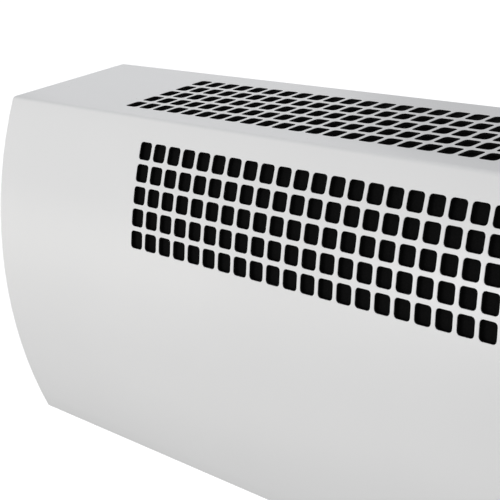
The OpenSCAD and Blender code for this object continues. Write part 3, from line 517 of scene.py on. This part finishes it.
def cross_recess_screws():
    """Pan heads with a cross recess, each left at its own angle by the screwdriver."""
    top_r, slot_half, slot_end, slot_taper, slot_depth = 2.6, 0.42, 1.9, 0.1, 0.9
    head_r = SCREW_HEAD_D / 2
    bm = bmesh.new()
    bmesh.ops.create_circle(bm, cap_ends=True, segments=32, radius=top_r)
    for axis in (0, 1):
        scribe(bm, bm.faces[:], axis, (-slot_end, -slot_half, slot_half, slot_end))
    rim = [edge for edge in bm.edges if edge.is_boundary]
    cross = [f for f in bm.faces if min(map(abs, f.calc_center_median()[:2])) < slot_half
             and max(map(abs, f.calc_center_median()[:2])) < slot_end]
    bmesh.ops.inset_region(bm, faces=cross, thickness=slot_taper, depth=-slot_depth)
    # Three rings round the head's rim, then its seat, the shank and the tip
    turn_on(bm, rim, top_r, 2, (
        (0.87 * head_r, -0.2), (0.97 * head_r, -0.6), (head_r, -1.1), (head_r, -SCREW_HEAD_H),
        (SCREW_D / 2, -SCREW_HEAD_H), (SCREW_D / 2, -SCREW_HEAD_H - SCREW_LEN),
    ))
    bmesh.ops.recalc_face_normals(bm, faces=bm.faces[:])
    screw = bm.faces[:] + bm.edges[:] + bm.verts[:]
    upside_down = Matrix.Rotation(math.pi, 4, "X")
    for x, turn in zip(SCREW_X, (12, 71, 38, 55)):
        seat = Matrix.Translation((x, Cover.lip_front + SCREW_BACK, BOTTOM_Z - SCREW_HEAD_H))
        driven = Matrix.Rotation(math.radians(turn), 4, "Z")
        copy = bmesh.ops.duplicate(bm, geom=screw)["geom"]
        bmesh.ops.transform(bm, matrix=seat @ upside_down @ driven, verts=only(VERT, copy))
    bmesh.ops.delete(bm, geom=only(VERT, screw), context="VERTS")
    settle(bm, "cross_recess_screws", "casing", "cover_screws")


cross_recess_screws()


# ---------------------------------------------------------------- heater elements

def stepped_tube(bm, stud_end):
    """The tube along X, with a thinner stud at each end."""
    start = Matrix.Translation((-stud_end, 0, 0)) @ Matrix.Rotation(math.pi / 2, 4, "Y")
    ring = bmesh.ops.create_circle(bm, cap_ends=True, segments=24, radius=STUD_R, matrix=start)["verts"]
    tube_end = stud_end - STUD_OUT
    turn_on(bm, list({edge for vert in ring for edge in vert.link_edges}), STUD_R, 0, (
        (STUD_R, -tube_end), (TUBE_R, -tube_end), (TUBE_R, tube_end), (STUD_R, tube_end), (STUD_R, stud_end),
    ))


def wind_strip(bm, fin_r, steps=24):
    """Winds the steel strip on edge round the tube, in one helix on each side of the hanger."""
    root_r, tube = TUBE_R - FIN_SUNK, set(bm.verts)
    section = rectangle(bm, FIN_T, fin_r - root_r, (FINS_FROM, (root_r + fin_r) / 2, 0))
    bmesh.ops.spin(bm, geom=open_loop(bm, section), cent=(0, 0, 0), axis=(1, 0, 0),
                   dvec=(FIN_LEAD / steps, 0, 0), angle=2 * math.pi, steps=steps)
    turn = [v for v in bm.verts if v not in tube]
    turn += list({e for v in turn for e in v.link_edges}) + list({f for v in turn for f in v.link_faces})
    helix = repeat(bm, turn, int((FINS_TO - FINS_FROM) / FIN_LEAD), (FIN_LEAD, 0, 0))
    bmesh.ops.remove_doubles(bm, verts=only(VERT, helix), dist=WELD)
    bmesh.ops.edgeloop_fill(bm, edges=[e for e in bm.edges if e.is_boundary])
    wound = {g for f in bm.faces if not tube & set(f.verts) for g in (f, *f.edges, *f.verts)}
    other_side = bmesh.ops.duplicate(bm, geom=list(wound))["geom"]
    bmesh.ops.scale(bm, vec=(-1, 1, 1), verts=only(VERT, other_side))


def finned_element(number):
    """A heating tube with a strip wound on it."""
    node = f"heater_element_{number}"
    low, high = (Vector(corner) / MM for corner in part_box(node))
    bm = bmesh.new()
    stepped_tube(bm, high.x)
    wind_strip(bm, (high.z - low.z) / 2)
    bmesh.ops.recalc_face_normals(bm, faces=bm.faces[:])
    bmesh.ops.translate(bm, vec=(low + high) / 2, verts=bm.verts)
    settle(bm, f"finned_element_{number}", "casing", node)


for number in (1, 2, 3):
    finned_element(number)


# ---------------------------------------------------------------- pieces with their edges eased

# Facets this close to level are one face; an edge sharper than this and this many widths long gets eased
FLAT_ANGLE, SHARP_ANGLE, LONG_ENOUGH = math.radians(0.5), math.radians(40), 6


def paint_shade_on_flange_edge(bm):
    """The chassis flange ends under the rear row of holes, so its last few millimetres get painted shade:
    near-black, as dark as the holes look.
    """
    bmesh.ops.bisect_plane(bm, geom=bm.verts[:] + bm.edges[:] + bm.faces[:], dist=NEAR,
                           plane_co=(0, -SHADE_PAINTED_FROM, 0), plane_no=(0, 1, 0))
    flange_from = TOP_Z - 2 * SHEET_T - 0.5
    for face in bm.faces:
        place = face.calc_center_median()
        if place.y < -SHADE_PAINTED_FROM and place.z > flange_from:
            face.material_index = 1


def eased(node, body, width, touch_up=None):
    """A part as the CAD has it, its long sharp edges rounded as bending, moulding or paint leaves them."""
    bm = bmesh.new()
    bm.from_mesh(frame["nodes"][node].data)
    bmesh.ops.transform(bm, matrix=Matrix.Scale(1 / MM, 4), verts=bm.verts)
    bmesh.ops.remove_doubles(bm, verts=bm.verts, dist=WELD)
    bmesh.ops.dissolve_limit(bm, angle_limit=FLAT_ANGLE, verts=bm.verts, edges=bm.edges)
    sharp = [e for e in bm.edges if e.is_manifold and e.calc_length() > LONG_ENOUGH * width
             and e.calc_face_angle() > SHARP_ANGLE]
    bmesh.ops.bevel(bm, geom=sharp, affect="EDGES", offset=width, offset_type="OFFSET", segments=2,
                    profile=0.5, material=-1, clamp_overlap=True)
    bmesh.ops.dissolve_degenerate(bm, dist=WELD, edges=bm.edges)
    if touch_up:
        touch_up(bm)
    # Faces that the touch-up marks get the near-black painted shade
    settle(bm, "eased_" + node, body, node, more_finishes=[PAINTED_SHADE_EDGE] if touch_up else [])


for node, body, width in (
    ("end_plate_left", "casing", 0.3), ("end_plate_right", "casing", 0.3), ("bottom_panel", "casing", 0.3),
    ("louvre_bearings", "casing", 0.5), ("switch_bodies", "casing", 0.6),
    ("fan_rocker", "fan_key", 0.5), ("heat_rocker", "heat_key", 0.5),
):
    eased(node, body, width)
# The back plate's flange edge under the rear holes gets painted shade
eased("back_plate", "casing", 0.3, touch_up=paint_shade_on_flange_edge)


# ---------------------------------------------------------------- floor and light, in metres

FLOOR_DROP, FLOOR_HALF = 2.2, 60
LAMP_AIM, LAMP_AWAY = (-0.1, -0.06, 0), 2.6


def pale_floor():
    """The floor of the doorway, as far below the casing as over a real door: plain, pale and evenly lit."""
    made, tree = begin("matt_white_floor")[:2]
    finish_with(tree, Base_Color=linear("#fbfbfa"), Roughness=0.9, Emission_Color=linear("#ffffff"),
                Emission_Strength=0.6)
    bm = bmesh.new()
    bmesh.ops.create_grid(bm, x_segments=1, y_segments=1, size=FLOOR_HALF,
                          matrix=Matrix.Translation((0, 0, -FLOOR_DROP)))
    mesh = bpy.data.meshes.new("floor")
    bm.to_mesh(mesh)
    bm.free()
    mesh.materials.append(made)
    floor = bpy.data.objects.new("floor", mesh)
    # The floor is only seen: light, shadows and reflections pass through it
    floor.visible_diffuse = floor.visible_glossy = floor.visible_shadow = False
    bpy.context.scene.collection.objects.link(floor)


def soft_sky(above, below, strength):
    """Even studio light from all round, a little stronger from above than from below."""
    world = bpy.data.worlds.new("studio")
    bpy.context.scene.world = world
    world.use_nodes = True
    tree = world.node_tree
    tree.nodes.clear()
    direction = add(tree, "TexCoord").outputs["Generated"]
    height = add(tree, "SeparateXYZ", Vector=direction).outputs["Z"]
    level = add(tree, "MapRange", Value=height, From_Min=-0.5, From_Max=0.5).outputs["Result"]
    ramp = add(tree, "ValToRGB", stops=((0, below), (1, above)), Fac=level)
    light = add(tree, "Background", Color=ramp.outputs["Color"], Strength=strength)
    add(tree, "OutputWorld", Surface=light.outputs["Background"])


def softbox(name, azimuth, elevation, width, height, watts, colour="#ffffff"):
    """A lamp with a diffuser, aimed at the casing's left half: azimuth 0 is in front, and -90 to the left."""
    data = bpy.data.lights.new(name, "AREA")
    data.shape, data.size, data.size_y = "RECTANGLE", width, height
    data.energy, data.color = watts, linear(colour)[:3]
    turn = Matrix.Rotation(math.radians(azimuth), 4, "Z") @ Matrix.Rotation(-math.radians(elevation), 4, "X")
    stand = Matrix.Translation((0, -LAMP_AWAY, 0)) @ Matrix.Rotation(math.pi / 2, 4, "X")
    lamp = bpy.data.objects.new(name, data)
    lamp.matrix_world = Matrix.Translation(LAMP_AIM) @ turn @ stand
    lamp.visible_camera = False
    bpy.context.scene.collection.objects.link(lamp)


bpy.context.scene.view_settings.view_transform = "Standard"
pale_floor()
soft_sky("#fbfcff", "#d2d3d5", 0.58)
WARM = "#fff9f0"
softbox("front_strip", -25, 7, 1.2, 0.55, watts=17.2)
softbox("left_strip", -50, -4, 1.2, 0.55, watts=2.6, colour=WARM)
softbox("left_under_strip", -50, -15, 1.2, 0.55, watts=1.1, colour=WARM)
softbox("left_floor_strip", -50, -30, 1.2, 0.55, watts=1.0, colour=WARM)
softbox("left_box", -50, 20, 1.2, 1.2, watts=2.4, colour=WARM)
softbox("left_rear_box", -125, 22, 0.8, 1.5, watts=2.0)
softbox("right_box", 105, -12, 1.6, 1.6, watts=12)
